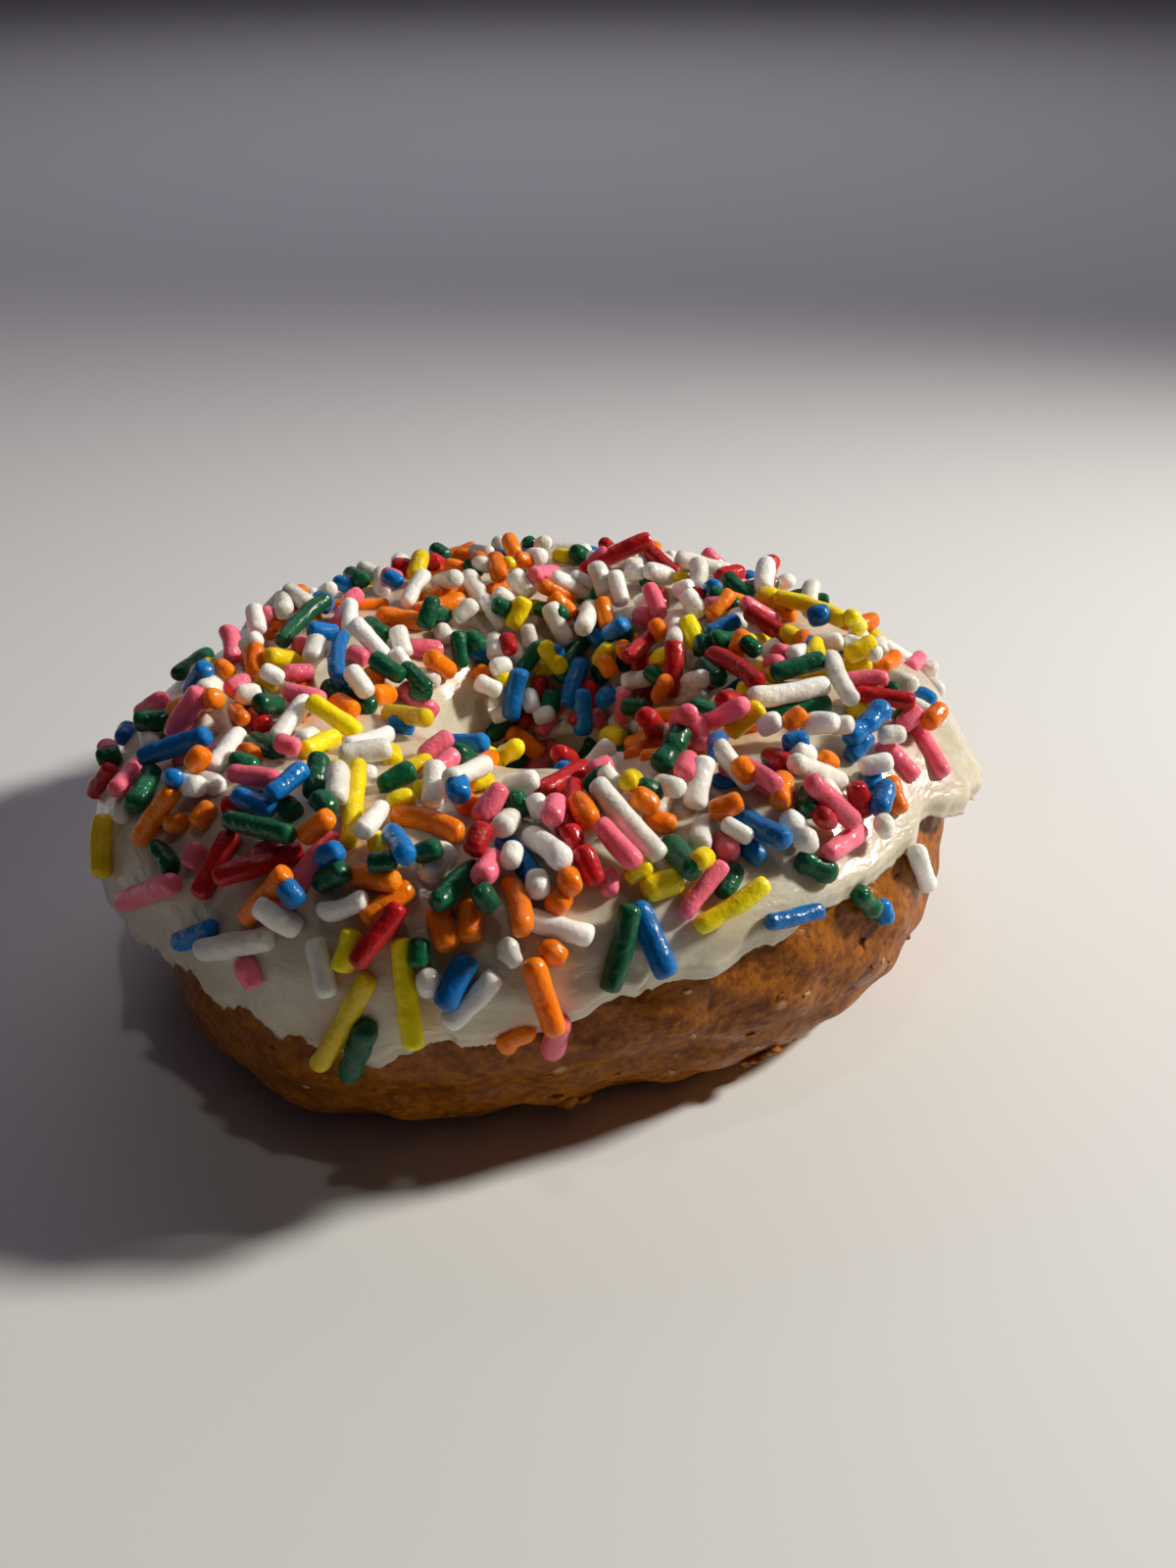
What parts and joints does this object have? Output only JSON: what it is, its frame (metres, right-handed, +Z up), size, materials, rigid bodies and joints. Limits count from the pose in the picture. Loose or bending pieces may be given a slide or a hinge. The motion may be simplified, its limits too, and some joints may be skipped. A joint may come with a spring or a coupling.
{
  "type": "sprinkle frosted doughnut",
  "caption": "A ring doughnut with thick ragged buttercream frosting and a heavy coat of rod-shaped sugar sprinkles in seven colours",
  "frame": {"origin": "Middle of the footprint on the table: the centre of the whole part's bounding box in X and Y, at the height of the flat fried underside that rests on the table", "axes": "+Z is up, out of the frosted top. +X is the doughnut's right and -Y its front, as the picture shows it. The hole runs along Z, its middle 1.9 mm to the right of the origin and 0.3 mm in front of it, because the frosting hangs out unevenly"},
  "size_m": [0.0859, 0.0824, 0.0292],
  "materials": {
    "fried_dough": "Fried golden-brown dough crust, uneven, slightly oily",
    "frosting": "White buttercream frosting with a soft gloss, and rod sprinkles in white, pink, orange, yellow, green, blue and dark red"
  },
  "bodies": {
    "root": {"dough": "fried_dough", "frosting": "frosting"}
  },
  "joints": []
}
